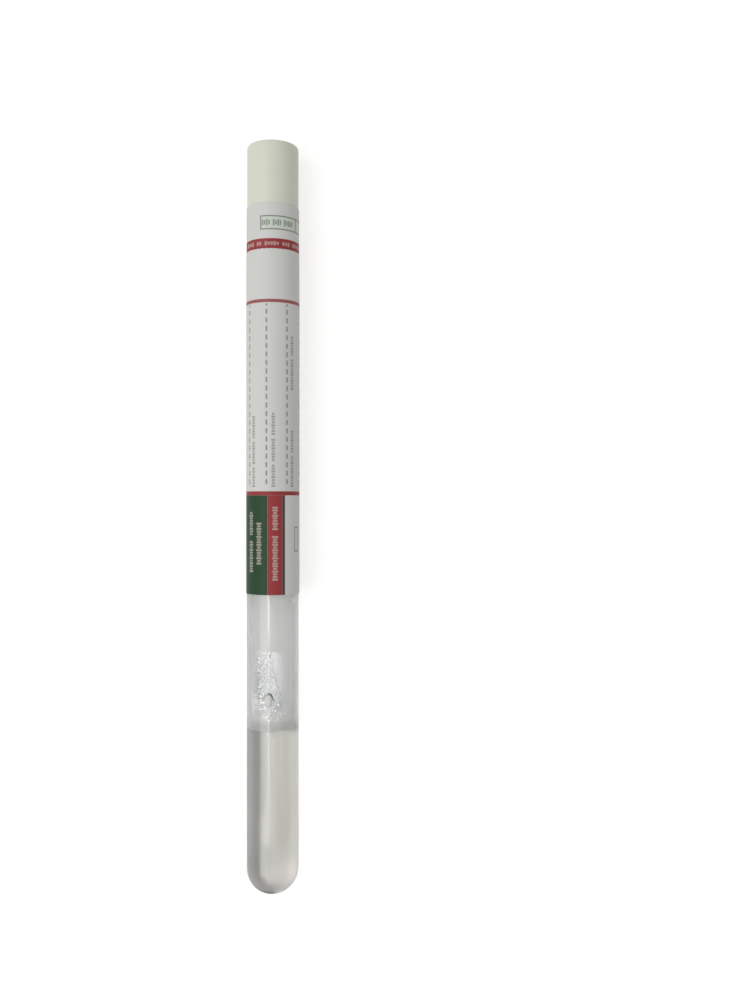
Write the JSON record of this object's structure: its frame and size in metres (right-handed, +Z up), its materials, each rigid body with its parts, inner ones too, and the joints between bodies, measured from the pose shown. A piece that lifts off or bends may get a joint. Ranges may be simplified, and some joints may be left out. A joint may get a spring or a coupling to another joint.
{
  "type": "specimen swab tube",
  "caption": "Round-bottomed plastic sample tube with transport gel, closed by the cap of its own swab and wrapped in a printed label that tears at the mouth.",
  "frame": {"origin": "centre of the footprint, on the surface that the tube lies on", "axes": "+Y along the tube from its round end to its cap, +Z up, +X across"},
  "size_m": [0.0124, 0.1752, 0.0124],
  "materials": {
    "tube_plastic": "natural translucent polypropylene, smooth and slightly hazy",
    "gel": "milky transport gel",
    "label_paper": "white label paper with printed fields in red, green and grey",
    "cap_plastic": "warm white moulded polyethylene, fine satin",
    "shaft_plastic": "white extruded polystyrene, satin",
    "bud_fibre": "wound viscose fibre, off white"
  },
  "bodies": {
    "tube": {"tube": "tube_plastic", "transport_medium": "gel", "label": "label_paper"},
    "swab": {"cap": "cap_plastic", "swab_shaft": "shaft_plastic", "swab_bud": "bud_fibre", "tamper_seal": "label_paper"}
  },
  "joints": [
    {"name": "swab_pull", "type": "slide", "parent": "tube", "child": "swab", "axis": [0, 1, 0], "range_m": [0, 0.145]}
  ]
}
